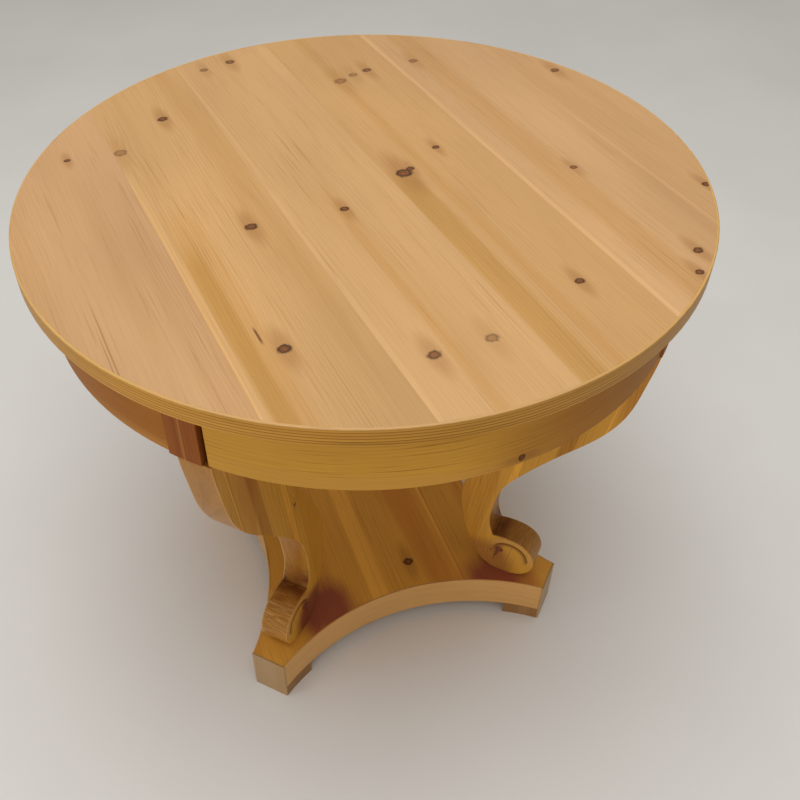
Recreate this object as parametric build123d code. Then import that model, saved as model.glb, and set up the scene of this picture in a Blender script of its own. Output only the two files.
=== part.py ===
from build123d import *
import os
from math import sqrt

# Round pedestal table in pine: a glued-up round top on an apron hoop, four flat scroll legs set on
# the diagonals, and a low four-cornered platform with concave sides on corner pads.
# Millimetres. +Z is up and Z = 0 is the floor. The Z axis is the centre of the round top.
# -Y is the side between the two front legs. Each corner has a local frame: +X outward along the
# diagonal and +Y along the rim, turned about Z by the corner's angle.

# ---------------------------------------------------------------- driving dimensions
TABLE_HEIGHT = 762
TOP_RADIUS = 450
TOP_THICK = 26
EDGE_STRIP_THICK = 3
TOP_BOARD_TURN = 6.3
TOP_SEAMS = (-275, -119, 37, 189, 343)
EASED_EDGE = 1.2

APRON_RADIUS = 424
APRON_THICK = 22
APRON_HEIGHT = 97
BLOCK_RADIUS = 427
BLOCK_WIDTH = 45
BLOCK_OFFSET = -10.5
BLOCK_GAP = 6

BEARER_WIDTH = 60
BEARER_HEIGHT = 45
END_CLEARANCE = 1

PLATFORM_TOP = 87
PLATFORM_THICK = 62
BASE_BOARD_THICK = 22
BASE_SEAMS = (-148, -20, 108)
CORNER_REACH = 346
CORNER_WIDTH = 58
SIDE_DEPTH = 191
FACING_THICK = 3
CORNER_BLOCK_START = 225
RAIL_WIDTH = 34
PAD_START = 287

LEG_THICK = 45
VOLUTE_X = 278
VOLUTE_RADIUS = 42
GROOVE_RADIUS = 31
GROOVE_WIDTH = 3
GROOVE_DEPTH = 2

CORNERS = {"front_left": 225, "front_right": 315, "back_right": 45, "back_left": 135}
SIDES = {"front": 270, "right": 0, "back": 90, "left": 180}
CORNER_TO_SIDE = 45
SCREW_SLOT_WIDTH = 1

# ---------------------------------------------------------------- derived levels and radii
TOP_UNDER = TABLE_HEIGHT - TOP_THICK
APRON_BOTTOM = TOP_UNDER - APRON_HEIGHT
BEARER_BOTTOM = TOP_UNDER - BEARER_HEIGHT
APRON_INNER = APRON_RADIUS - APRON_THICK
BOARDS_RADIUS = TOP_RADIUS - EDGE_STRIP_THICK
PAD_HEIGHT = PLATFORM_TOP - PLATFORM_THICK
BASE_BOARD_BOTTOM = PLATFORM_TOP - BASE_BOARD_THICK

# A concave side is an arc through the ends of two canted corners and the side's middle point.
SIDE_HALF_CHORD = (CORNER_REACH - CORNER_WIDTH / 2) / sqrt(2)
SIDE_SAGITTA = (CORNER_REACH + CORNER_WIDTH / 2) / sqrt(2) - SIDE_DEPTH
SIDE_RADIUS = (SIDE_HALF_CHORD**2 + SIDE_SAGITTA**2) / (2 * SIDE_SAGITTA)
SIDE_CENTRE = SIDE_DEPTH + SIDE_RADIUS


# ---------------------------------------------------------------- helpers
def block(x, y, z):
    """A box from its (low, high) ranges."""
    size = [high - low for low, high in (x, y, z)]
    middle = [(high + low) / 2 for low, high in (x, y, z)]
    return Pos(*middle) * Box(*size)


def disc(radius, z):
    """A round slab of that radius between two levels."""
    low, high = z
    return Pos(0, 0, (low + high) / 2) * Cylinder(radius, high - low)


def hoop(outer, inner, z):
    return disc(outer, z) - disc(inner, z)


def turned(angle, shape):
    return Rot(0, 0, angle) * shape


def at_corners(*shapes):
    """The shapes repeated at the four corners, as one group of separate solids."""
    return Compound(
        children=[turned(angle, shape) for angle in CORNERS.values() for shape in shapes]
    )


def screw(x, y, head_z, diameter, length, up=True):
    """A countersunk wood screw with a slotted head, driven up or down from head_z."""
    head_height = diameter / 2
    shank = Pos(0, 0, length / 2) * Cylinder(diameter / 2, length)
    head = Pos(0, 0, head_height / 2) * Cone(diameter, diameter / 2, head_height)
    half_slot = SCREW_SLOT_WIDTH / 2
    slot = block((-diameter, diameter), (-half_slot, half_slot), (0, diameter / 4))
    flip = Rot(0, 0, 0) if up else Rot(180, 0, 0)
    return Pos(x, y, head_z) * flip * (shank + head - slot)


# ---------------------------------------------------------------- fasteners
# Places are distances from the table's axis along a corner's diagonal. A screw's size is its
# diameter and length.
BEARER_SCREW_SIZE = (5, 60)
BEARER_SCREW_PLACES = (120, 260)
LEG_TOP_SCREW_SIZE = (6, 80)
LEG_TOP_SCREW_PLACES = (335, 375)
FOOT_SCREW_SIZE = (8, 110)
FOOT_FIXING_PLACE = 267
FOOT_DOWEL_SPREAD = 13
FOOT_DOWEL_RADIUS = 4
FOOT_DOWEL_LENGTH = 40
PAD_SCREW_SIZE = (5, 45)
PAD_SCREW_PLACE = 312
PAD_SCREW_SPREAD = 20
PAD_SCREW_RECESS = 4
PAD_SCREW_RECESS_RADIUS = 6

bearer_screws = at_corners(
    *[screw(x, 0, BEARER_BOTTOM, *BEARER_SCREW_SIZE) for x in BEARER_SCREW_PLACES]
)
leg_top_screws = at_corners(
    *[screw(x, 0, TOP_UNDER, *LEG_TOP_SCREW_SIZE, up=False) for x in LEG_TOP_SCREW_PLACES]
)
leg_foot_screws = at_corners(screw(FOOT_FIXING_PLACE, 0, PAD_HEIGHT, *FOOT_SCREW_SIZE))
dowel_place = Pos(FOOT_FIXING_PLACE, 0, PLATFORM_TOP)
foot_dowel = dowel_place * Cylinder(FOOT_DOWEL_RADIUS, FOOT_DOWEL_LENGTH)
leg_foot_dowels = at_corners(
    *[Pos(0, y, 0) * foot_dowel for y in (-FOOT_DOWEL_SPREAD, FOOT_DOWEL_SPREAD)]
)
PAD_SCREW_YS = (-PAD_SCREW_SPREAD, PAD_SCREW_SPREAD)
pad_screws = at_corners(
    *[screw(PAD_SCREW_PLACE, y, PAD_SCREW_RECESS, *PAD_SCREW_SIZE) for y in PAD_SCREW_YS]
)


# ---------------------------------------------------------------- round top
def top_boards():
    """Edge-glued boards of uneven widths, cut to a disc inside the edge strip."""
    round_panel = disc(BOARDS_RADIUS, (TOP_UNDER, TABLE_HEIGHT)) - bearer_screws
    edges = (-TOP_RADIUS, *TOP_SEAMS, TOP_RADIUS)
    length = (-TOP_RADIUS, TOP_RADIUS)
    thickness = (TOP_UNDER, TABLE_HEIGHT)
    return [
        round_panel & turned(TOP_BOARD_TURN, block(span, length, thickness))
        for span in zip(edges, edges[1:])
    ]


def top_edge_strip():
    """A thin bent strip round the rim, with its two outer edges eased."""
    ring = hoop(TOP_RADIUS, BOARDS_RADIUS, (TOP_UNDER, TABLE_HEIGHT))
    rims = ring.edges().filter_by(GeomType.CIRCLE).group_by(SortBy.RADIUS)[-1]
    return fillet(rims, EASED_EDGE)


def bearer(angle, lap_above):
    """A diagonal bar under the top. The two bars cross in a half lap at the centre."""
    half_length = sqrt(APRON_INNER**2 - (BEARER_WIDTH / 2) ** 2) - END_CLEARANCE
    half_width = BEARER_WIDTH / 2
    middle_z = (BEARER_BOTTOM + TOP_UNDER) / 2
    lap_z = (middle_z, TOP_UNDER) if lap_above else (BEARER_BOTTOM, middle_z)
    bar = block(
        (-half_length, half_length), (-half_width, half_width), (BEARER_BOTTOM, TOP_UNDER)
    )
    lap = block((-half_width, half_width), (-half_width, half_width), lap_z)
    return turned(angle, bar - lap) - bearer_screws - leg_top_screws


# ---------------------------------------------------------------- apron hoop
BLOCK_START = BLOCK_OFFSET - BLOCK_WIDTH / 2
BLOCK_END = BLOCK_OFFSET + BLOCK_WIDTH / 2
APRON_Z = (APRON_BOTTOM, TOP_UNDER)
GLUE_BLOCK_DEPTH = 20
GLUE_BLOCK_LENGTH = 60
GLUE_BLOCK_HEIGHT = 25
GLUE_BLOCK_TURNS = (-22, 22)


def apron_block_half(low, high):
    """Half of the upright block that closes the hoop over a leg. It stands a little proud."""
    slab = block((APRON_INNER - APRON_THICK, BLOCK_RADIUS), (low, high), APRON_Z)
    return slab & hoop(BLOCK_RADIUS, APRON_INNER, APRON_Z)


def apron_segments():
    """The bent panels between the blocks. The front one stops short of the front left block."""
    slots = at_corners(block((0, TOP_RADIUS), (BLOCK_START, BLOCK_END), APRON_Z))
    open_joint = block((0, TOP_RADIUS), (BLOCK_START, BLOCK_END + BLOCK_GAP), APRON_Z)
    ring = hoop(APRON_RADIUS, APRON_INNER, APRON_Z) - slots
    ring -= turned(CORNERS["front_left"], open_joint)
    quadrant = block((0, TOP_RADIUS), (0, TOP_RADIUS), APRON_Z)
    return {
        name: ring & turned(angle - CORNER_TO_SIDE, quadrant) for name, angle in SIDES.items()
    }


def glue_blocks():
    """Short blocks that hold the hoop to the underside of the top, two to each panel."""
    z = (TOP_UNDER - GLUE_BLOCK_HEIGHT, TOP_UNDER)
    half = GLUE_BLOCK_LENGTH / 2
    one = block((APRON_INNER - GLUE_BLOCK_DEPTH, APRON_RADIUS), (-half, half), z)
    one = one & disc(APRON_INNER, z)
    lower_edge = one.edges().filter_by(Axis.Y).sort_by(Axis.Z)[0]
    one = chamfer(lower_edge, GLUE_BLOCK_DEPTH / 2)
    turns = [side + turn for side in SIDES.values() for turn in GLUE_BLOCK_TURNS]
    return Compound(children=[turned(turn, one) for turn in turns])


# ---------------------------------------------------------------- scroll legs
VOLUTE_Z = PLATFORM_TOP + VOLUTE_RADIUS
SHOULDER = (425, APRON_BOTTOM)
CREASE = (247, PLATFORM_TOP + 82)
CREST = (263, PLATFORM_TOP + 84.5)
SOLE_END = (256, PLATFORM_TOP)
TONGUE_INNER = 313
TONGUE_OUTER = APRON_INNER - END_CLEARANCE
KNEE = ((418, 587), (404, 520), (377, 465), (328, 402))
WAIST = ((279, 336), (250, 285), (240, 235), (238, 200))
BACK_CURVE = ((232, 101), (208, 145), (192, 205), (188, 262), (207, 334), (254, 424), (295, 520))


def leg_outline():
    """Side view: shoulder, knee and waist outside, volute foot, and one long curve inside."""
    volute_top = (VOLUTE_X, VOLUTE_Z + VOLUTE_RADIUS)
    volute_front = (VOLUTE_X + VOLUTE_RADIUS, VOLUTE_Z)
    volute_foot = (VOLUTE_X, PLATFORM_TOP)
    tongue_foot = (TONGUE_INNER, APRON_BOTTOM)
    outside = Spline(
        SHOULDER,
        *KNEE,
        *WAIST,
        CREASE,
        tangents=[(-0.04, -1), (0.4, -0.9)],
        tangent_scalars=(1, 1),
    )
    crest = ThreePointArc(CREASE, CREST, volute_top)
    volute = ThreePointArc(volute_top, volute_front, volute_foot)
    sole = Line(volute_foot, SOLE_END)
    inside = Spline(
        SOLE_END,
        *BACK_CURVE,
        tongue_foot,
        tangents=[(-1, 0.15), (0.05, 1)],
        tangent_scalars=(1, 1),
    )
    tongue = Polyline(
        tongue_foot,
        (TONGUE_INNER, BEARER_BOTTOM),
        (TONGUE_OUTER, BEARER_BOTTOM),
        (TONGUE_OUTER, APRON_BOTTOM),
        SHOULDER,
    )
    return make_face([outside, crest, volute, sole, inside, *tongue.edges()])


def volute_groove():
    """The carved line over the roll of the foot, a half ring in side view."""
    ring = Circle(GROOVE_RADIUS + GROOVE_WIDTH / 2) - Circle(GROOVE_RADIUS - GROOVE_WIDTH / 2)
    above = Pos(0, VOLUTE_RADIUS) * Rectangle(2 * VOLUTE_RADIUS, 2 * VOLUTE_RADIUS)
    return Pos(VOLUTE_X, VOLUTE_Z) * (ring & above)


def leg():
    """A flat board leg with a tongue inside the hoop and a carved line in each side of its foot."""
    board = extrude(Plane.XZ * leg_outline(), LEG_THICK / 2, both=True)
    carving = extrude(Plane.XZ * volute_groove(), GROOVE_DEPTH, both=True)
    for side in (-1, 1):
        board -= Pos(0, side * LEG_THICK / 2, 0) * carving
    return board


# ---------------------------------------------------------------- platform
def platform_plan(inset):
    """The four-cornered plan, drawn in by inset along its concave sides and canted corners."""
    reach = 2 * (CORNER_REACH - inset)
    plan = Rectangle(reach, reach, rotation=CORNER_TO_SIDE)
    for angle in SIDES.values():
        plan -= turned(angle, Pos(SIDE_CENTRE, 0) * Circle(SIDE_RADIUS + inset))
    return plan


def platform_slab(inset, z):
    low, high = z
    return Pos(0, 0, low) * extrude(platform_plan(inset), high - low)


CORE_Z = (PAD_HEIGHT, BASE_BOARD_BOTTOM)
BOARD_Z = (BASE_BOARD_BOTTOM, PLATFORM_TOP)
PAD_Z = (0, PAD_HEIGHT)
WIDE = (-TOP_RADIUS, TOP_RADIUS)


def base_boards():
    """Edge-glued boards that make the upper face of the platform."""
    panel = platform_slab(FACING_THICK, BOARD_Z) - leg_foot_screws - leg_foot_dowels
    edges = (-TOP_RADIUS, *BASE_SEAMS, TOP_RADIUS)
    return [panel & block(span, WIDE, BOARD_Z) for span in zip(edges, edges[1:])]


def corner_region(start, z):
    """Everything further out along the first corner's diagonal than start."""
    return block((start, TOP_RADIUS), WIDE, z)


def base_corner_block(angle):
    core = platform_slab(FACING_THICK, CORE_Z)
    solid = core & turned(angle, corner_region(CORNER_BLOCK_START, CORE_Z))
    return solid - leg_foot_screws - pad_screws


def base_rail(angle):
    """A concave rail behind one side, butted between two corner blocks."""
    side = turned(angle, Pos(SIDE_CENTRE, 0, sum(CORE_Z) / 2))
    rail = side * Cylinder(SIDE_RADIUS + FACING_THICK + RAIL_WIDTH, CORE_Z[1] - CORE_Z[0])
    rail = rail & platform_slab(FACING_THICK, CORE_Z)
    for corner in CORNERS.values():
        rail -= turned(corner, corner_region(CORNER_BLOCK_START, CORE_Z))
    return rail


def side_facing(angle):
    """A thin bent facing on one concave side, from canted corner to canted corner."""
    z = (PAD_HEIGHT, PLATFORM_TOP)
    side = turned(angle, Pos(SIDE_CENTRE, 0, sum(z) / 2))
    skin = side * Cylinder(SIDE_RADIUS + FACING_THICK, PLATFORM_THICK)
    facing = skin & platform_slab(0, z)
    for corner in CORNERS.values():
        facing -= turned(corner, corner_region(CORNER_REACH - FACING_THICK, z))
    return facing


def corner_facing(angle):
    """The canted face of a corner, one piece over the platform and its pad."""
    z = (0, PLATFORM_TOP)
    return platform_slab(0, z) & turned(angle, corner_region(CORNER_REACH - FACING_THICK, z))


def foot_pad(angle):
    """A pad under a corner, flush with the platform's sides, with recessed screws."""
    outer = block((PAD_START, CORNER_REACH - FACING_THICK), WIDE, PAD_Z)
    pad = platform_slab(0, PAD_Z) & turned(angle, outer)
    recess = Pos(PAD_SCREW_PLACE, 0, PAD_SCREW_RECESS / 2) * Cylinder(
        PAD_SCREW_RECESS_RADIUS, PAD_SCREW_RECESS
    )
    return pad - at_corners(*[Pos(0, y, 0) * recess for y in PAD_SCREW_YS]) - pad_screws


# ---------------------------------------------------------------- assembly
parts = {
    "top_edge_strip": top_edge_strip(),
    "top_bearer_lower": bearer(CORNERS["back_right"], lap_above=True),
    "top_bearer_upper": bearer(CORNERS["back_left"], lap_above=False),
    "apron_glue_blocks": glue_blocks(),
    "bearer_screws": bearer_screws,
    "leg_top_screws": leg_top_screws,
    "leg_foot_screws": leg_foot_screws,
    "leg_foot_dowels": leg_foot_dowels,
    "pad_screws": pad_screws,
}
for number, board in enumerate(top_boards(), start=1):
    parts[f"top_board_{number}"] = board
for number, board in enumerate(base_boards(), start=1):
    parts[f"base_board_{number}"] = board
for name, panel in apron_segments().items():
    parts[f"apron_{name}"] = panel

plain_leg = leg()
first_half = apron_block_half(BLOCK_START, BLOCK_OFFSET)
second_half = apron_block_half(BLOCK_OFFSET, BLOCK_END)
for name, angle in CORNERS.items():
    drilled = turned(angle, plain_leg) - leg_top_screws - leg_foot_screws - leg_foot_dowels
    parts[f"leg_{name}"] = drilled
    parts[f"apron_block_{name}_1"] = turned(angle, first_half)
    parts[f"apron_block_{name}_2"] = turned(angle, second_half)
    parts[f"base_corner_block_{name}"] = base_corner_block(angle)
    parts[f"base_corner_facing_{name}"] = corner_facing(angle)
    parts[f"foot_pad_{name}"] = foot_pad(angle)
for name, angle in SIDES.items():
    parts[f"base_rail_{name}"] = base_rail(angle)
    parts[f"base_side_facing_{name}"] = side_facing(angle)

os.makedirs("parts", exist_ok=True)
for name, shape in parts.items():
    export_step(shape, f"parts/{name}.step")
    print(name, round(shape.volume))
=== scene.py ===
import math
from functools import partial

import bmesh
import bpy
from mathutils import Matrix, Vector


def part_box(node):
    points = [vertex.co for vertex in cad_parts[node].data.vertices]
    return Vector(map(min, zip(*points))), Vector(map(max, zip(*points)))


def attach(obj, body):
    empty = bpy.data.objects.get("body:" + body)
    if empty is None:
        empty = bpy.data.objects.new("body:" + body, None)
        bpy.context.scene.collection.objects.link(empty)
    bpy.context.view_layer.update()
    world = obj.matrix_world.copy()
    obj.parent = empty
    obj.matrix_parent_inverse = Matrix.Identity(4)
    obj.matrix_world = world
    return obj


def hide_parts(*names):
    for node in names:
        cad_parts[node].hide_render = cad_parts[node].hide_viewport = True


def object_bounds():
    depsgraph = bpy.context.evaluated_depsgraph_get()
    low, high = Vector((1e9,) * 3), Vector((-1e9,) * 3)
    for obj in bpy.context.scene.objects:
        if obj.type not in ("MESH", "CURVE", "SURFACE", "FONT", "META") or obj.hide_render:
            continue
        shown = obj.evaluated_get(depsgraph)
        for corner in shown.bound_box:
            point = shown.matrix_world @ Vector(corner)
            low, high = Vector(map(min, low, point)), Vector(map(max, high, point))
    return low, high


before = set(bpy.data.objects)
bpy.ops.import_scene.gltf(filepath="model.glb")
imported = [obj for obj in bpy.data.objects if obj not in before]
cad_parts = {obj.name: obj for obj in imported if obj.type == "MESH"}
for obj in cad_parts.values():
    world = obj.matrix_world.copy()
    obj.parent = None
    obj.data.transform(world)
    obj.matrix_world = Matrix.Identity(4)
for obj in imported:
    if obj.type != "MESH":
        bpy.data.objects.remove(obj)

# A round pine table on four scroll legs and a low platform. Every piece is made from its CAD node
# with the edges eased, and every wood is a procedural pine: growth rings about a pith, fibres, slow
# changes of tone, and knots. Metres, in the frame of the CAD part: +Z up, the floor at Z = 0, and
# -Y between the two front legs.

CAD_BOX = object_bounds()
TABLE_LOW, TABLE_HIGH = CAD_BOX
TOP_RADIUS = TABLE_HIGH.x
TOP_Z = TABLE_HIGH.z
APRON_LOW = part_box("apron_front")[0]
PLATFORM_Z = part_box("base_board_2")[1].z

CORNER_ANGLES = {"front_left": 225, "front_right": 315, "back_right": 45, "back_left": 135}
SIDES = {"front": (0, -1), "right": (1, 0), "back": (0, 1), "left": (-1, 0)}
BOARD_TURN = 6.3          # degrees between the top's boards and the Y axis


# ---------------------------------------------------------------- mesh
# The roll of a leg's foot in side view: distance from the table's axis, and height.
VOLUTE_CENTRE = Vector((0.278, 0.129))
VOLUTE_RADIUS = 0.042
VOLUTE_CARVED = 0.034                    # inside this reach the edges are the carved line
VOLUTE_EDGES = VOLUTE_RADIUS + 0.0005    # the roll's own edges lie inside this reach
VOLUTE_START = 0.262                     # and beyond this distance from the table's axis
VOLUTE_ROUND = 2.4                       # how much more they are rounded than the leg's others
SHARP = math.radians(30)
FLAT = math.radians(0.3)
SAME_PLACE = 1e-6
EASED_SEGMENTS = 3


def volute_reach(vertex, angle):
    """A leg vertex's distance from the centre of the roll, in side view, and its radius."""
    local = Matrix.Rotation(-math.radians(angle), 4, "Z") @ vertex.co
    return (Vector((local.x, local.z)) - VOLUTE_CENTRE).length, local.x


def edge_share(edge, corner):
    """How much of the rounding an edge takes: none in the carved line, most round the roll."""
    if len(edge.link_faces) != 2 or edge.calc_face_angle() <= SHARP:
        return 0.0
    if corner is None:
        return 1.0
    ends = [volute_reach(v, corner) for v in edge.verts]
    if all(reach < VOLUTE_CARVED for reach, _ in ends):
        return 0.0
    if all(reach < VOLUTE_EDGES and out > VOLUTE_START for reach, out in ends):
        return 1.0
    return 1.0 / VOLUTE_ROUND


def eased(node, width, corner=None):
    """A copy of a CAD node with flat faces made whole, sharp edges rounded and curves smooth.
    corner is the angle of a leg, whose foot has a roll."""
    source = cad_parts[node]
    mesh = bpy.data.meshes.new(node + "_eased")
    form = bmesh.new()
    form.from_mesh(source.data)
    bmesh.ops.remove_doubles(form, verts=form.verts, dist=SAME_PLACE)
    bmesh.ops.dissolve_limit(form, angle_limit=FLAT, verts=form.verts, edges=form.edges)
    weight = form.edges.layers.float.new("bevel_weight_edge")
    for edge in form.edges:
        edge[weight] = edge_share(edge, corner)
        gentle = len(edge.link_faces) != 2 or edge.calc_face_angle() <= SHARP
        edge.smooth = edge[weight] > 0 or gentle
    for face in form.faces:
        face.smooth = True
    form.to_mesh(mesh)
    form.free()
    piece = bpy.data.objects.new(node + "_piece", mesh)
    bpy.context.scene.collection.objects.link(piece)
    if width:
        bevel = piece.modifiers.new("ease", "BEVEL")
        bevel.limit_method = "WEIGHT"
        bevel.width = width * (VOLUTE_ROUND if corner is not None else 1)
        bevel.segments = EASED_SEGMENTS
    normals = piece.modifiers.new("normals", "WEIGHTED_NORMAL")
    normals.keep_sharp = True
    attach(piece, "root")
    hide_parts(node)
    return piece


# ---------------------------------------------------------------- shader nodes
class Tree:
    """Short calls for building one material's nodes."""

    def __init__(self, name):
        self.material = bpy.data.materials.new(name)
        self.material.use_nodes = True
        self.nodes = self.material.node_tree.nodes
        self.links = self.material.node_tree.links
        self.shader = self.nodes["Principled BSDF"]

    def put(self, socket, value):
        if isinstance(value, bpy.types.NodeSocket):
            self.links.new(value, socket)
        else:
            socket.default_value = value

    def math(self, operation, a, b=0.0, c=0.0):
        node = self.nodes.new("ShaderNodeMath")
        node.operation = operation
        for socket, value in zip(node.inputs, (a, b, c)):
            self.put(socket, value)
        return node.outputs[0]

    def product(self, *shares):
        value = shares[0]
        for share in shares[1:]:
            value = self.math("MULTIPLY", value, share)
        return value

    def vector(self, operation, a, b=(0, 0, 0)):
        node = self.nodes.new("ShaderNodeVectorMath")
        node.operation = operation
        self.put(node.inputs[0], a)
        self.put(node.inputs[1], b)
        return node.outputs["Value" if operation == "LENGTH" else "Vector"]

    def object_point(self, turn=0.0):
        """The point on the piece, turned about Z by -turn degrees."""
        point = self.nodes.new("ShaderNodeTexCoord").outputs["Object"]
        if not turn:
            return point
        node = self.nodes.new("ShaderNodeVectorRotate")
        node.rotation_type = "Z_AXIS"
        self.put(node.inputs["Vector"], point)
        self.put(node.inputs["Angle"], -math.radians(turn))
        return node.outputs[0]

    def split(self, vector):
        node = self.nodes.new("ShaderNodeSeparateXYZ")
        self.put(node.inputs[0], vector)
        return node.outputs[0], node.outputs[1], node.outputs[2]

    def join(self, x, y, z):
        node = self.nodes.new("ShaderNodeCombineXYZ")
        for socket, value in zip(node.inputs, (x, y, z)):
            self.put(socket, value)
        return node.outputs[0]

    def noise(self, vector, scale, detail=2.0, rough=0.5):
        """Smooth noise from 0 to 1. scale is a triple of wavelengths' inverses, in 1/m."""
        node = self.nodes.new("ShaderNodeTexNoise")
        self.put(node.inputs["Vector"], self.vector("MULTIPLY", vector, scale))
        node.inputs["Scale"].default_value = 1.0
        node.inputs["Detail"].default_value = detail
        node.inputs["Roughness"].default_value = rough
        return node.outputs["Fac"]

    def remap(self, value, low, high, to_low=0.0, to_high=1.0):
        """A smooth step from to_low, where value is at low, to to_high, where it is at high."""
        node = self.nodes.new("ShaderNodeMapRange")
        node.interpolation_type = "SMOOTHSTEP"
        for name, number in (
            ("Value", value), ("From Min", low), ("From Max", high),
            ("To Min", to_low), ("To Max", to_high),
        ):
            self.put(node.inputs[name], number)
        return node.outputs[0]

    def ramp(self, value, stops):
        """stops are (position, tone) pairs, a tone being a colour or a grey."""
        node = self.nodes.new("ShaderNodeValToRGB")
        elements = node.color_ramp.elements
        while len(elements) < len(stops):
            elements.new(0.5)
        for element, (position, tone) in zip(elements, stops):
            element.position = position
            element.color = (tone, tone, tone, 1) if isinstance(tone, float) else (*tone, 1)
        self.put(node.inputs[0], value)
        return node.outputs[0]

    def mix(self, share, a, b, blend="MIX"):
        node = self.nodes.new("ShaderNodeMix")
        node.data_type = "RGBA"
        node.blend_type = blend
        self.put(node.inputs["Factor"], share)
        for name, tone in (("A", a), ("B", b)):
            socket = [s for s in node.inputs if s.name == name and s.type == "RGBA"][0]
            self.put(socket, tone if isinstance(tone, bpy.types.NodeSocket) else (*tone, 1))
        return [s for s in node.outputs if s.type == "RGBA"][0]


def srgb(red, green, blue):
    """A colour given as 0 to 255 values, as linear numbers."""
    return tuple(
        c / 12.92 if c <= 0.04045 else ((c + 0.055) / 1.055) ** 2.4
        for c in (red / 255, green / 255, blue / 255)
    )


# ---------------------------------------------------------------- pine
KNOT_LENGTH = 0.85        # of a knot along the grain, against its width
KNOT_TAIL = 3.4           # the same for the halo and the grain that swells round it
KNOT_CORE = srgb(146, 84, 40)
KNOT_RING = srgb(92, 46, 22)
KNOT_RIM = srgb(46, 24, 12)
RESIN = srgb(160, 104, 46)


def nearest_knot(tree, point, knots, stretch):
    """Distance to the nearest knot in knot radii. The field is stretched along the grain."""
    nearest = 99.0
    for x, y, radius, _ in knots:
        offset = tree.vector("SUBTRACT", point, (x, y, 0))
        scaled = tree.vector("MULTIPLY", offset, (1 / radius, 1 / (radius * stretch), 0))
        nearest = tree.math("MINIMUM", nearest, tree.vector("LENGTH", scaled))
    return nearest


def with_knots(tree, point, colour, knots, bump):
    """Ringed knots with a dark bark line and a resin halo, and the dents of their rims."""
    ragged = tree.math("MULTIPLY_ADD", tree.noise(point, (240, 160, 240), detail=3.0), 0.9, -0.45)
    for strength in sorted({k[3] for k in knots}):
        group = [k for k in knots if k[3] == strength]
        near = tree.math("ADD", nearest_knot(tree, point, group, KNOT_LENGTH), ragged)
        tails = nearest_knot(tree, point, group, KNOT_TAIL)
        halo = tree.product(tree.remap(tails, 0.6, 2.4, 1.0, 0.0), 0.5 * strength)
        colour = tree.mix(halo, colour, RESIN)
        rings = tree.math("FRACT", tree.product(near, 2.4))
        core = tree.mix(tree.remap(rings, 0.1, 0.9), KNOT_RING, KNOT_CORE)
        inside = tree.remap(near, 0.75, 1.1, strength, 0.0)
        colour = tree.mix(inside, colour, core)
        rim = tree.product(tree.remap(near, 0.55, 0.85), tree.remap(near, 0.9, 1.45, 1.0, 0.0))
        colour = tree.mix(tree.product(rim, 0.9 * strength), colour, KNOT_RIM)
        bump = tree.math("ADD", bump, tree.product(rim, -0.6 * strength))
    return colour, bump


STRIPE_WAVER = 0.006      # how far a stripe strays across the board
STRIPE_FADE = 0.04        # how long the ends of a stripe fade


def with_stripes(tree, point, colour, stripes, waver, slope):
    """Bands along the grain, each (low, high, start, end, tone, softness), as a colour factor.
    slope is how far across the board they go for each metre along it."""
    x, y, _ = tree.split(point)
    x = tree.math("ADD", x, tree.math("MULTIPLY_ADD", waver, STRIPE_WAVER, -STRIPE_WAVER / 2))
    x = tree.math("MULTIPLY_ADD", y, -slope, x)
    for low, high, start, end, tone, soft in stripes:
        fade = min(STRIPE_FADE, (end - start) / 4)
        inside = tree.product(
            tree.remap(x, low - soft, low + soft),
            tree.remap(x, high - soft, high + soft, 1.0, 0.0),
            tree.remap(y, start - fade, start + fade),
            tree.remap(y, end - fade, end + fade, 1.0, 0.0),
        )
        colour = tree.mix(inside, colour, tree.mix(1.0, colour, tone, "MULTIPLY"))
    return colour


COAT_ROUGHNESS = 0.22
RELIEF_STRENGTH = 0.35
RELIEF_DEPTH = 0.0004


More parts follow.
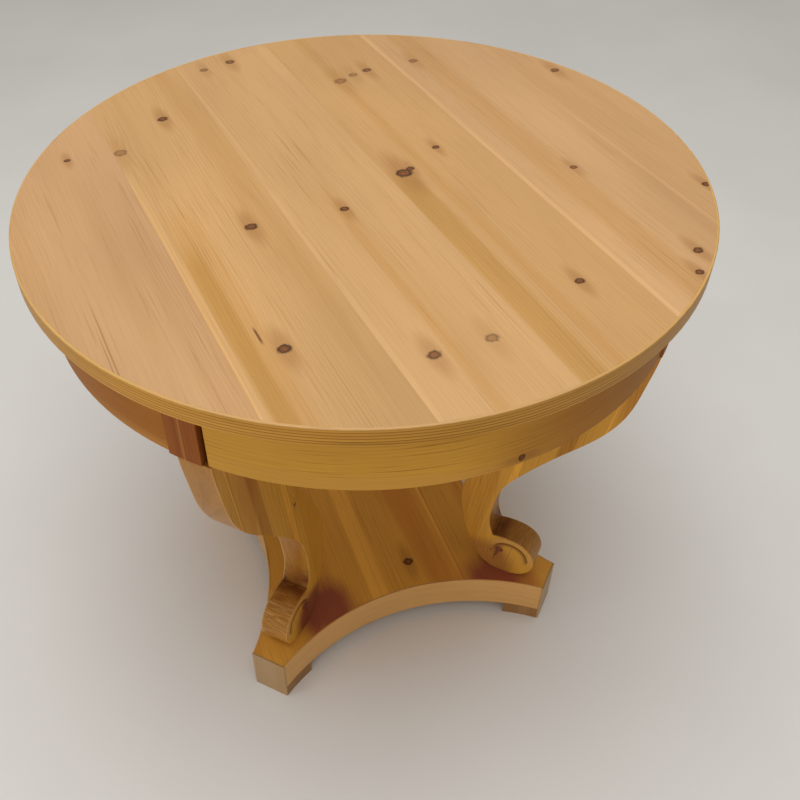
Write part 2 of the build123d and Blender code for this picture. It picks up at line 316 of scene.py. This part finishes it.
def pine(
    name, point_of, early, late, streak, seed=0.0, pith=(0.0, -0.12), lean=0.0, ring=0.0042,
    contrast=0.4, swirl=0.02, knots=(), streaks=0.5, stripes=(), gloss=0.36, coat=0.03, marks_and_painted_light=None,
    slope=0.0, dashes=0.5, shine=0.28,
):
    """Varnished pine. point_of(tree) gives x across the board, y along the grain and z through
    it, in metres. The rings are cylinders of width ring about the pith line at pith (x, z), which
    leans by lean and swirls by swirl metres. early, late and streak are its colours, and knots,
    stripes and marks_and_painted_light(tree, point, colour), which may also paint light and shade,
    are laid over them."""
    tree = Tree(name)
    point = point_of(tree)
    shifted = tree.vector("ADD", point, (seed * 3.1, seed * 1.7, seed * 2.3))
    x, y, z = tree.split(point)

    bend = tree.noise(shifted, (7, 0.9, 7), detail=1.5)
    wander = tree.noise(shifted, (30, 3.5, 30), detail=2.0)
    drift = tree.math("MULTIPLY_ADD", bend, swirl, tree.product(wander, swirl * 0.25))
    across = tree.math("ADD", tree.math("SUBTRACT", x, pith[0]), drift)
    across = tree.math("ADD", across, tree.product(y, lean))
    deep = tree.math("SUBTRACT", z, pith[1])
    radius = tree.vector("LENGTH", tree.join(across, deep, 0.0))
    years = tree.noise(tree.join(tree.math("ADD", radius, seed), 0.0, 0.0), (60, 1, 1), detail=2.0)
    phase = tree.math("MULTIPLY_ADD", years, 3.0, tree.math("DIVIDE", radius, ring))
    if knots:
        reach = nearest_knot(tree, point, knots, KNOT_TAIL)
        swell = tree.math("EXPONENT", tree.product(reach, reach, -0.3))
        phase = tree.math("ADD", phase, tree.product(swell, 1.6))
    ringed = tree.ramp(
        tree.math("FRACT", phase), [(0.0, 0.0), (0.35, 0.1), (0.82, 0.85), (0.9, 1.0), (1.0, 0.0)]
    )
    strength = tree.remap(tree.noise(shifted, (22, 1.6, 22), detail=2.0), 0.35, 0.68, 0.15, 1.0)
    late_share = tree.product(ringed, strength, contrast)

    fibre = tree.noise(shifted, (900, 14, 900), detail=3.0, rough=0.6)
    hair = tree.noise(shifted, (2600, 60, 2600), detail=1.0)
    slow = tree.noise(shifted, (18, 1.0, 18), detail=2.5)
    broad = tree.noise(shifted, (6, 2.2, 6), detail=2.0)
    ducts = tree.remap(tree.noise(shifted, (520, 8, 520), detail=2.5), 0.56, 0.70)

    colour = tree.mix(late_share, early, late)
    golden = tree.product(tree.remap(slow, 0.5, 0.68), streaks)
    colour = tree.mix(golden, colour, streak)
    grouped = tree.remap(tree.noise(shifted, (24, 2.4, 24)), 0.35, 0.65, 0.1, dashes)
    colour = tree.mix(tree.product(ducts, grouped), colour, late)
    shade = tree.product(
        tree.math("MULTIPLY_ADD", fibre, 0.20, 0.90), tree.math("MULTIPLY_ADD", broad, 0.34, 0.83)
    )
    colour = tree.mix(1.0, colour, tree.join(shade, shade, shade), "MULTIPLY")
    if stripes:
        colour = with_stripes(tree, point, colour, stripes, bend, slope)
    bump = tree.math("MULTIPLY_ADD", fibre, 0.5, tree.product(ringed, 0.35))
    if knots:
        colour, bump = with_knots(tree, point, colour, knots, bump)
    # Marks on the wood, and painted light and shade, over the grain.
    if marks_and_painted_light:
        colour = marks_and_painted_light(tree, point, colour)

    tree.put(tree.shader.inputs["Base Color"], colour)
    polish = tree.math("MULTIPLY_ADD", broad, 0.16, gloss - 0.08)
    polish = tree.math("ADD", polish, tree.product(fibre, 0.08))
    tree.put(tree.shader.inputs["Roughness"], polish)
    tree.shader.inputs["Specular IOR Level"].default_value = shine
    tree.shader.inputs["Coat Weight"].default_value = coat
    tree.shader.inputs["Coat Roughness"].default_value = COAT_ROUGHNESS
    relief = tree.nodes.new("ShaderNodeBump")
    relief.inputs["Strength"].default_value = RELIEF_STRENGTH
    relief.inputs["Distance"].default_value = RELIEF_DEPTH
    tree.put(relief.inputs["Height"], tree.math("MULTIPLY_ADD", hair, 0.3, bump))
    tree.put(tree.shader.inputs["Normal"], relief.outputs[0])
    return tree.material


def flat_board(turn=0.0):
    """Board frame of a level board: the grain along Y, turned about Z by turn degrees."""
    return lambda tree: tree.object_point(turn)


def upright_board(turn):
    """Board frame of an upright piece over a leg, turned about Z by turn degrees: x outward from
    the table's axis, y up the grain, z across the thickness."""
    def point(tree):
        outward, along, up = tree.split(tree.object_point(turn))
        return tree.join(outward, up, along)
    return point


def bent_board(radius, centre=(0, 0, 0), middle=(0, -1)):
    """Grain round an upright cylinder: x is the height and y the way round from the middle."""
    fx, fy = middle

    def point(tree):
        px, py, pz = tree.split(tree.vector("SUBTRACT", tree.object_point(), centre))
        ahead = tree.math("MULTIPLY_ADD", px, fx, tree.product(py, fy))
        aside = tree.math("MULTIPLY_ADD", py, fx, tree.product(px, -fy))
        way = tree.product(tree.math("ARCTAN2", aside, ahead), radius)
        return tree.join(pz, way, 0.0)
    return point


def paint(piece, material):
    piece.data.materials.clear()
    piece.data.materials.append(material)


# ---------------------------------------------------------------- the round top
# Knots: across the boards, along them towards the back, radius, and how dark, in the boards' frame.
TOP_KNOTS = (
    (-0.185, 0.279, 0.0065, 0.9), (-0.266, 0.213, 0.0085, 0.45), (-0.337, 0.226, 0.0040, 0.9),
    (-0.166, -0.036, 0.0070, 0.9), (-0.046, -0.052, 0.0050, 0.9), (-0.214, -0.265, 0.0070, 0.9),
    (-0.076, -0.343, 0.0068, 0.75), (0.132, -0.305, 0.0052, 0.9), (0.060, -0.010, 0.0100, 0.9),
    (0.072, -0.004, 0.0050, 0.9), (0.129, 0.030, 0.0045, 0.9), (0.224, 0.279, 0.0060, 0.55),
    (0.402, 0.150, 0.0060, 0.75), (0.266, -0.098, 0.0045, 0.75), (0.392, -0.208, 0.0050, 0.9),
    (0.289, -0.317, 0.0055, 0.9), (0.263, -0.351, 0.0048, 0.9), (0.094, 0.269, 0.0085, 0.45),
    (0.120, 0.279, 0.0060, 0.45), (0.146, 0.284, 0.0060, 0.75), (-0.035, 0.410, 0.0065, 0.75),
    (-0.081, 0.402, 0.0055, 0.55), (-0.008, -0.346, 0.0070, 0.45),
)
FRONT, BACK = -1.0, 1.0   # ends of a band that runs right off the board
PALE = (1.12, 1.12, 1.12)
OLIVE = (0.88, 0.83, 0.62)
HONEY = (0.95, 0.91, 0.80)
SLASH = (0.30, 0.22, 0.16)
SCRATCH = (0.66, 0.60, 0.50)
FAINT = (1.06, 1.07, 1.09)
TOP_STRIPES = {
    1: ((-0.3860, -0.3845, FRONT, -0.12, SCRATCH, 0.0007),
        (-0.3900, -0.3888, FRONT, -0.16, SCRATCH, 0.0006)),
    2: ((-0.275, -0.265, FRONT, 0.15, FAINT, 0.0010), (-0.275, -0.272, FRONT, 0.15, PALE, 0.0006),
        (-0.264, -0.240, FRONT, -0.06, OLIVE, 0.004), (-0.262, -0.222, FRONT, 0.02, HONEY, 0.006),
        (-0.233, -0.2305, -0.246, -0.220, SLASH, 0.0008)),
    3: ((-0.119, -0.112, FRONT, BACK, FAINT, 0.0015), (0.018, 0.037, FRONT, BACK, FAINT, 0.003),
        (-0.060, -0.048, FRONT, -0.02, HONEY, 0.003)),
    4: ((0.037, 0.070, FRONT, -0.02, OLIVE, 0.005), (0.084, 0.100, FRONT, BACK, HONEY, 0.006)),
    5: ((0.189, 0.195, FRONT, BACK, PALE, 0.0010), (0.225, 0.262, FRONT, BACK, HONEY, 0.008)),
    6: ((0.343, 0.349, FRONT, BACK, FAINT, 0.002),),
}
TOP_BOARDS = {
    # number: tint, pith across, pith depth, lean, streaks
    1: ((0.98, 0.96, 1.04), -0.52, -0.10, 0.03, 0.25),
    2: ((1.00, 0.98, 0.92), -0.40, -0.09, -0.02, 0.45),
    3: ((0.99, 0.98, 0.96), -0.22, -0.12, 0.02, 0.30),
    4: ((0.96, 0.93, 0.86), -0.02, -0.07, -0.03, 0.55),
    5: ((0.99, 0.98, 1.04), 0.47, -0.09, 0.02, 0.25),
    6: ((0.93, 0.91, 0.94), 0.60, -0.14, 0.00, 0.30),
}
TOP_EARLY = srgb(212, 168, 114)
TOP_LATE = srgb(158, 110, 62)
TOP_STREAK = srgb(192, 144, 84)


def tinted(colour, tint):
    return tuple(c * t for c, t in zip(colour, tint))


def knots_near(node):
    """The knots whose centre lies within a top board, in the boards' frame."""
    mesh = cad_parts[node].data
    turned = [Matrix.Rotation(-math.radians(BOARD_TURN), 4, "Z") @ v.co for v in mesh.vertices]
    low, high = min(p.x for p in turned), max(p.x for p in turned)
    return [k for k in TOP_KNOTS if low <= k[0] <= high]


for number, (tint, pith_x, pith_z, lean, streaks) in TOP_BOARDS.items():
    node = f"top_board_{number}"
    board = eased(node, 0)
    paint(board, pine(
        f"pine_top_{number}", flat_board(BOARD_TURN), tinted(TOP_EARLY, tint),
        tinted(TOP_LATE, tint), tinted(TOP_STREAK, tint), seed=number, lean=lean,
        pith=(pith_x, TOP_Z + pith_z), knots=knots_near(node), streaks=streaks,
        stripes=TOP_STRIPES[number], gloss=0.42, contrast=0.22, dashes=0.34,
    ))

# The edge strip's fine dark lines, by their drop below the top, and its pale upper edge.
RIM_DROPS = (0.0055, 0.0095, 0.0135, 0.0180, 0.0215)
RIM_HALF = 0.0006         # half the width of a line
RIM_DARK = (0.62, 0.55, 0.42)
RIM_PALE = (1.15, 1.40, 4.2)
RIM_LINES = tuple(
    (TOP_Z - drop - RIM_HALF, TOP_Z - drop + RIM_HALF, -2.0, 2.0, RIM_DARK, 0.0004)
    for drop in RIM_DROPS
) + ((TOP_Z - 0.0012, TOP_Z + 0.003, -2.0, 2.0, RIM_PALE, 0.0005),)
strip = eased("top_edge_strip", 0)
paint(strip, pine(
    "pine_edge_strip", bent_board(TOP_RADIUS), srgb(200, 144, 48), srgb(124, 76, 20),
    srgb(206, 150, 66), seed=11, pith=(TOP_Z - 0.06, -0.02), ring=0.0030, contrast=0.45,
    swirl=0.004, stripes=RIM_LINES, shine=0.14,
))

# ---------------------------------------------------------------- the apron
APRON_TONES = {
    "front": (srgb(206, 152, 56), srgb(140, 90, 24)),
    "right": (srgb(190, 130, 46), srgb(130, 78, 22)),
    "back": (srgb(200, 144, 52), srgb(136, 86, 24)),
    "left": (srgb(162, 100, 30), srgb(110, 60, 14)),
}
APRON_RADIUS = -APRON_LOW.y
APRON_KNOT = (APRON_LOW.z + 0.010, 0.041, 0.0045, 0.9)   # near the front panel's lower edge
# The tone of the painted shade over the front panel's right end.
RIGHTWARD_SHADE = (0.68, 0.54, 0.46)


def apron_rightward_shade(tree, point, colour):
    """Painted shade: the front panel grows redder and darker to the right, where less light reaches
    it.
    """
    _, way, _ = tree.split(point)
    ragged = tree.math("MULTIPLY_ADD", tree.noise(point, (14, 3, 14)), 0.16, -0.08)
    shaded = tree.mix(1.0, colour, RIGHTWARD_SHADE, "MULTIPLY")
    return tree.mix(tree.remap(tree.math("ADD", way, ragged), -0.06, 0.14), colour, shaded)


for number, (side, middle) in enumerate(SIDES.items()):
    early, late = APRON_TONES[side]
    knots, marks_and_painted_light = ((APRON_KNOT,), apron_rightward_shade) if side == "front" else ((), None)
    panel = eased(f"apron_{side}", 0.0012)
    paint(panel, pine(
        f"pine_apron_{side}", bent_board(APRON_RADIUS, middle=middle), early, late,
        srgb(196, 142, 70), dashes=0.8, marks_and_painted_light=marks_and_painted_light, seed=20 + number, ring=0.0062,
        pith=(APRON_LOW.z - 0.09, -0.05), contrast=0.24, knots=knots, gloss=0.50, shine=0.08,
    ))

BLOCK_EARLY = srgb(150, 84, 28)
BLOCK_LATE = srgb(106, 48, 18)
BLOCK_JOINT = -0.0105     # along the rim from the corner's diagonal
# The painted highlight on the seam between a block's halves, where one half's edge catches the
# light.
SEAM_HIGHLIGHT = srgb(196, 142, 84)


def block_seam_highlight(tree, point, colour):
    """A painted highlight along the seam where the two halves of a block meet."""
    _, _, along = tree.split(point)
    away = tree.math("ABSOLUTE", tree.math("SUBTRACT", along, BLOCK_JOINT))
    return tree.mix(tree.remap(away, 0.0005, 0.0022, 0.55, 0.0), colour, SEAM_HIGHLIGHT)


for corner, angle in CORNER_ANGLES.items():
    for half in (1, 2):
        block = eased(f"apron_block_{corner}_{half}", 0.0010)
        paint(block, pine(
            f"pine_block_{corner}_{half}", upright_board(angle), BLOCK_EARLY, BLOCK_LATE,
            srgb(160, 86, 34), seed=30 + half + angle, pith=(0.40, -0.03 * half), contrast=0.6,
            marks_and_painted_light=block_seam_highlight, gloss=0.52, shine=0.08,
        ))

# ---------------------------------------------------------------- the scroll legs
LEG_EARLY = srgb(208, 150, 54)
LEG_LATE = srgb(138, 88, 26)
LEG_STREAK = srgb(176, 108, 38)
LEG_HALF = 0.0225         # half the thickness of a leg
# Painted shade on a leg's outer and inner faces.
FACE_SHADE = (0.66, 0.60, 0.72)
# The colour of the painted shadow beside the feet, on the boards and low on each foot.
FOOT_SHADOW = srgb(150, 74, 60)
# A darker painted shadow low on a foot's side, by the heel.
HEEL_SHADOW = tinted(FOOT_SHADOW, (0.6, 0.5, 0.6))
# Pale sawn end grain and the paler toe, and the painted highlight on the lip of the carved line.
PALE_WOOD_AND_HIGHLIGHT = srgb(206, 154, 96)
# Dark sawn end grain and the crack, and the painted shade under the carved line and in the crease.
DARK_WOOD_AND_SHADE = srgb(96, 44, 20)
RUBBED = srgb(206, 162, 104)
# Places on a leg's side: distance from the table's axis, and height.
HEEL_PLACE = (0.238, 0.104, 0.0)
CREASE_PLACE = (0.246, 0.176, 0.0)
FOOT_KNOT = (0.260, 0.139)
CRACK_START = (0.259, 0.137)
CRACK_LEAN = 0.25         # how far outward the crack goes for each metre up
SAP = (1.28, 1.28, 1.26)
HEART = (0.74, 0.65, 0.54)
LEG_LEAN = 0.15           # how far the grain of a leg leans outward as it rises
LEG_STRIPES = (
    (0.13, 0.196, -1.0, 1.0, (0.90, 0.84, 0.74), 0.002), (0.212, 0.222, 0.2, 1.0, SAP, 0.001),
    (0.262, 0.282, 0.3, 1.0, HEART, 0.003), (0.3105, 0.3125, 0.3, 1.0, SAP, 0.0006),
    (0.336, 0.362, 0.3, 1.0, HEART, 0.004), (0.3640, 0.3665, 0.3, 1.0, SAP, 0.0006),
    (0.388, 0.420, 0.3, 1.0, HEART, 0.003),
)
LEG_KNOTS = ((*FOOT_KNOT, 0.0060, 0.9), (0.262, 0.395, 0.0030, 0.75))


def leg_marks_and_painted_light(tree, point, colour, sawn, heel):
    """A split knot, sawn end grain, a paler toe and worn edges on a foot, with painted light and
    shade:
    shade on the outer and inner faces, in the crease and at the heel, a highlight on the carved
    line's lip and shade under it. sawn and heel are the strengths of the saw cuts and of the
    painted shadow at the heel."""
    out, up, across = tree.split(point)
    wide = tree.math("ABSOLUTE", across)
    on_side = tree.remap(wide, LEG_HALF - 0.0012, LEG_HALF - 0.0002)
    on_face = tree.math("SUBTRACT", 1.0, on_side)
    patchy = tree.remap(tree.noise(point, (60, 60, 30), detail=3.0), 0.36, 0.62)
    side_view = tree.join(out, up, 0.0)

    # Painted shade: the outer and inner faces are darker and greyer than the flat sides.
    colour = tree.mix(on_face, colour, tree.mix(1.0, colour, FACE_SHADE, "MULTIPLY"))

    # The roll: sawn end grain across it, and a paler toe.
    roll_x, roll_y, _ = tree.split(tree.vector("SUBTRACT", side_view, (*VOLUTE_CENTRE, 0)))
    reach = tree.vector("LENGTH", tree.join(roll_x, roll_y, 0.0))
    around = tree.product(tree.math("ARCTAN2", roll_y, roll_x), VOLUTE_RADIUS)
    saw = tree.noise(tree.join(around, across, 0.0), (620, 34, 1), detail=3.0, rough=0.65)
    on_roll = tree.product(
        on_face, tree.remap(up, 0.168, 0.176, 1.0, 0.0), tree.remap(out, 0.246, 0.252)
    )
    pale = tree.product(on_roll, tree.remap(saw, 0.52, 0.64), 0.75 * sawn)
    colour = tree.mix(pale, colour, PALE_WOOD_AND_HIGHLIGHT)
    dark = tree.product(on_roll, tree.remap(saw, 0.36, 0.46, 1.0, 0.0), 0.5 * sawn)
    colour = tree.mix(dark, colour, DARK_WOOD_AND_SHADE)
    toe = tree.product(
        on_face, tree.remap(up, 0.110, 0.132, 1.0, 0.0), tree.remap(out, 0.290, 0.306),
        tree.math("MULTIPLY_ADD", patchy, -0.5, 0.55),
    )
    colour = tree.mix(toe, colour, PALE_WOOD_AND_HIGHLIGHT)

    # The light on the lip of the carved line, and the shade under it.
    upper = tree.product(
        on_side, tree.remap(roll_y, -0.012, 0.004), tree.remap(out, 0.246, 0.256)
    )
    lip = tree.product(
        upper, tree.remap(reach, 0.0325, 0.0350), tree.remap(reach, 0.0385, 0.0420, 1.0, 0.0), 0.45
    )
    colour = tree.mix(lip, colour, PALE_WOOD_AND_HIGHLIGHT)
    under = tree.product(
        upper, tree.remap(reach, 0.0215, 0.0295), tree.remap(reach, 0.0295, 0.0320, 1.0, 0.0), 0.6
    )
    colour = tree.mix(under, colour, DARK_WOOD_AND_SHADE)

    # Painted shadow on the side of the foot, low by the heel.
    from_heel = tree.vector("LENGTH", tree.vector("SUBTRACT", side_view, HEEL_PLACE))
    heel_shadowed = tree.product(on_side, tree.remap(from_heel, 0.030, 0.060, heel, 0.0))
    colour = tree.mix(heel_shadowed, colour, HEEL_SHADOW)

    # Painted shade in the crease above the roll.
    crease = tree.vector("LENGTH", tree.vector("SUBTRACT", side_view, CREASE_PLACE))
    crease_shade = tree.product(
        on_face, tree.remap(crease, 0.006, 0.034, 0.85, 0.0),
        tree.math("MULTIPLY_ADD", patchy, 0.6, 0.4),
    )
    colour = tree.mix(crease_shade, colour, DARK_WOOD_AND_SHADE)

    # The crack that runs down from the foot's knot, widest at the knot.
    wobble = tree.math("MULTIPLY_ADD", tree.noise(point, (180, 180, 180)), 0.005, -0.0025)
    rise = tree.math("SUBTRACT", up, CRACK_START[1])
    middle = tree.math("MULTIPLY_ADD", rise, CRACK_LEAN, CRACK_START[0])
    aside = tree.math("ABSOLUTE", tree.math("ADD", tree.math("SUBTRACT", out, middle), wobble))
    half = tree.remap(up, 0.106, 0.134, 0.0004, 0.0030)
    crack = tree.product(
        tree.remap(tree.math("DIVIDE", aside, half), 0.5, 1.2, 1.0, 0.0),
        tree.remap(up, 0.104, 0.108), tree.remap(up, 0.131, 0.135, 1.0, 0.0), 0.75,
    )
    colour = tree.mix(crack, colour, DARK_WOOD_AND_SHADE)

    # Edges rubbed pale.
    rubbed = tree.remap(tree.noise(point, (14, 14, 14), detail=3.0), 0.42, 0.62, 0.15, 0.6)
    worn = tree.product(
        tree.remap(wide, LEG_HALF - 0.0026, LEG_HALF - 0.0012),
        tree.remap(wide, LEG_HALF - 0.0004, LEG_HALF - 0.0001, 1.0, 0.0), rubbed,
    )
    return tree.mix(worn, colour, RUBBED)


for corner, angle in CORNER_ANGLES.items():
    # How strong the saw cuts and the painted shadow at the heel are on each leg.
    sawn, heel = (1.0, 0.85) if corner == "front_left" else (0.4, 0.5)
    piece = eased(f"leg_{corner}", 0.0022, corner=angle)
    paint(piece, pine(
        f"pine_leg_{corner}", upright_board(angle), LEG_EARLY, LEG_LATE, LEG_STREAK,
        seed=40 + angle, pith=(0.10, 0.05), lean=-LEG_LEAN, slope=LEG_LEAN, ring=0.0050,
        contrast=0.42, swirl=0.012, stripes=LEG_STRIPES, knots=LEG_KNOTS,
        gloss=0.32, coat=0.12, shine=0.14, marks_and_painted_light=partial(leg_marks_and_painted_light, sawn=sawn, heel=heel),
    ))

# ---------------------------------------------------------------- the platform
BASE_EARLY = srgb(228, 166, 68)
BASE_LATE = srgb(164, 102, 40)
BASE_KNOT = (0.032, -0.140, 0.0070, 0.9)   # in board 3
# number: tone, pith across
BASE_BOARDS = {1: (0.92, -0.34), 2: (1.04, -0.24), 3: (0.96, -0.08), 4: (0.98, 0.30)}
BASE_STRIPES = {
    1: (),
    2: ((-0.049, -0.020, FRONT, BACK, (1.20, 1.26, 1.30), 0.0012),),
    3: ((0.101, 0.106, FRONT, BACK, (1.26, 1.30, 1.34), 0.0012),),
    4: ((0.108, 0.110, FRONT, BACK, (0.8, 0.74, 0.7), 0.001),),
}
# The middles of the painted shadows by the front feet. Those by the back feet mirror them.
SHADOW_PLACES = ((-0.130, 0.184, 0.0), (0.158, 0.218, 0.0))


def foot_shadows(tree, point, colour):
    """Painted shadow: darker, redder patches of the boards beside each foot."""
    x, y, _ = tree.split(point)
    mirrored = tree.join(x, tree.math("ABSOLUTE", y), 0.0)
    left, right = (
        tree.vector("LENGTH", tree.vector("SUBTRACT", mirrored, place)) for place in SHADOW_PLACES
    )
    ragged = tree.math("MULTIPLY_ADD", tree.noise(point, (24, 9, 24), detail=3.0), 0.05, -0.025)
    reach = tree.math("ADD", tree.math("MINIMUM", left, right), ragged)
    return tree.mix(tree.remap(reach, 0.024, 0.072, 0.9, 0.0), colour, FOOT_SHADOW)


for number, (tone, pith_x) in BASE_BOARDS.items():
    board = eased(f"base_board_{number}", 0)
    knots = (BASE_KNOT,) if number == 3 else ()
    tint = (tone, tone, tone)
    paint(board, pine(
        f"pine_base_{number}", flat_board(), tinted(BASE_EARLY, tint), tinted(BASE_LATE, tint),
        srgb(196, 122, 50), shine=0.14, seed=60 + number, pith=(pith_x, PLATFORM_Z - 0.08),
        knots=knots, stripes=BASE_STRIPES[number], contrast=0.3, streaks=0.6, gloss=0.44,
        marks_and_painted_light=foot_shadows,
    ))

FACING_EARLY = srgb(216, 164, 96)
FACING_LATE = srgb(162, 112, 58)
SIDE_AXIS = 0.567         # distance of a concave side's own axis from the table's axis
SIDE_RADIUS = 0.376
for number, (side, (sx, sy)) in enumerate(SIDES.items()):
    facing = eased(f"base_side_facing_{side}", 0.001)
    paint(facing, pine(
        f"pine_side_facing_{side}",
        bent_board(SIDE_RADIUS, centre=(sx * SIDE_AXIS, sy * SIDE_AXIS, 0), middle=(-sx, -sy)),
        FACING_EARLY, FACING_LATE, srgb(164, 116, 58), seed=70 + number, pith=(-0.04, -0.03),
        ring=0.0046, contrast=0.35, swirl=0.01,
    ))
for corner, angle in CORNER_ANGLES.items():
    for node, early, late in (
        (f"base_corner_facing_{corner}", srgb(178, 144, 100), srgb(144, 108, 64)),
        (f"foot_pad_{corner}", srgb(150, 106, 56), srgb(106, 68, 30)),
    ):
        piece = eased(node, 0.001)
        paint(piece, pine(
            f"pine_{node}", upright_board(angle), early, late, srgb(170, 128, 74),
            seed=80 + angle, pith=(0.28, -0.10), contrast=0.3, swirl=0.01,
        ))

# ---------------------------------------------------------------- hidden timber and screws
BARE_EARLY = srgb(214, 178, 128)
BARE_LATE = srgb(170, 124, 76)
# Each hidden node, and the direction its grain lies across, in degrees.
INNER_TURNS = {
    "top_bearer_lower": 45, "top_bearer_upper": 135, "apron_glue_blocks": 0, "leg_foot_dowels": 0,
    **{f"base_rail_{side}": 0 for side in SIDES},
    **{f"base_corner_block_{corner}": angle for corner, angle in CORNER_ANGLES.items()},
}
for number, (node, angle) in enumerate(INNER_TURNS.items()):
    piece = eased(node, 0.0008)
    paint(piece, pine(
        f"pine_{node}", flat_board(angle + 90), BARE_EARLY, BARE_LATE, srgb(200, 152, 92),
        seed=90 + number, pith=(0.02, 0.5), gloss=0.62, coat=0.0,
    ))


def zinc():
    tree = Tree("zinc_plate")
    scratches = tree.noise(tree.object_point(), (900, 900, 200), detail=3.0)
    plate = tree.ramp(scratches, [(0.3, srgb(150, 148, 138)), (0.7, srgb(196, 192, 176))])
    tree.put(tree.shader.inputs["Base Color"], plate)
    tree.put(tree.shader.inputs["Roughness"], tree.remap(scratches, 0.3, 0.7, 0.25, 0.45))
    tree.shader.inputs["Metallic"].default_value = 1.0
    return tree.material


steel = zinc()
for node in ("bearer_screws", "leg_top_screws", "leg_foot_screws", "pad_screws"):
    paint(eased(node, 0.0002), steel)


# ---------------------------------------------------------------- floor, light and camera
def pale_floor():
    tree = Tree("pale_floor")
    cloud = tree.noise(tree.object_point(), (2, 2, 2), detail=3.0)
    pale = tree.ramp(cloud, [(0.3, srgb(236, 235, 232)), (0.7, srgb(242, 241, 239))])
    tree.put(tree.shader.inputs["Base Color"], pale)
    tree.put(tree.shader.inputs["Roughness"], tree.remap(cloud, 0.3, 0.7, 0.7, 0.8))
    return tree.material


FLOOR_HALF = 30.0
corners = [(-1, -1), (1, -1), (1, 1), (-1, 1)]
floor_mesh = bpy.data.meshes.new("floor")
floor_mesh.from_pydata(
    [(x * FLOOR_HALF, y * FLOOR_HALF, TABLE_LOW.z) for x, y in corners], [], [(0, 1, 2, 3)]
)
floor = bpy.data.objects.new("floor", floor_mesh)
bpy.context.scene.collection.objects.link(floor)
floor_mesh.materials.append(pale_floor())

world = bpy.data.worlds.new("studio")
world.use_nodes = True
background = world.node_tree.nodes["Background"]
background.inputs["Color"].default_value = (*srgb(255, 249, 240), 1)
background.inputs["Strength"].default_value = 0.36
bpy.context.scene.world = world

VIEW_TURN = -16.5         # the camera's azimuth, in degrees


def around(right, away, up):
    """A point from the view's own directions, measured from the centre of the top."""
    turned = Matrix.Rotation(math.radians(VIEW_TURN), 3, "Z") @ Vector((right, away, 0))
    return turned + Vector((0, 0, TOP_Z + up))


LIT_PLACE = Vector((0, 0, TOP_Z * 0.6))   # the lights face the middle of the table


def soft_light(name, place, size, power):
    """A rectangle of size metres and power watts at place, in the view's own directions."""
    light = bpy.data.lights.new(name, "AREA")
    light.shape = "RECTANGLE"
    light.size, light.size_y = size
    light.energy = power
    lamp = bpy.data.objects.new(name, light)
    bpy.context.scene.collection.objects.link(lamp)
    lamp.location = around(*place)
    aim = LIT_PLACE - lamp.location
    lamp.rotation_mode = "QUATERNION"
    lamp.rotation_quaternion = aim.to_track_quat("-Z", "Y")


soft_light("key", (-0.1, -0.2, 2.5), (2.4, 2.4), 52)
soft_light("left", (-2.6, -0.9, 0.1), (1.0, 1.6), 5)
soft_light("front", (-1.3, -2.7, -0.2), (1.4, 1.2), 13)

# The camera stands in front of the table and looks down at it, slightly rolled. Its place is
# given in top radii, and its principal point is a little off the picture's middle.
CAMERA_PLACE = (-0.0898, -2.3935, 1.4752)
CAMERA_PITCH = 43.85
CAMERA_ROLL = -2.14
CAMERA_LENS = 42.44
CAMERA_SHIFT = (0.0790, -0.0184)

camera_data = bpy.data.cameras.new("camera")
camera_data.lens = CAMERA_LENS
camera_data.sensor_width = 36
camera_data.shift_x, camera_data.shift_y = CAMERA_SHIFT
camera_data.clip_start, camera_data.clip_end = 0.01, 100
camera = bpy.data.objects.new("camera", camera_data)
bpy.context.scene.collection.objects.link(camera)
camera.location = around(*[TOP_RADIUS * c for c in CAMERA_PLACE])
camera.rotation_euler = (
    Matrix.Rotation(math.radians(VIEW_TURN), 3, "Z")
    @ Matrix.Rotation(math.radians(90 - CAMERA_PITCH), 3, "X")
    @ Matrix.Rotation(math.radians(CAMERA_ROLL), 3, "Z")
).to_euler()
bpy.context.scene.camera = camera
bpy.context.scene.view_settings.view_transform = "Standard"
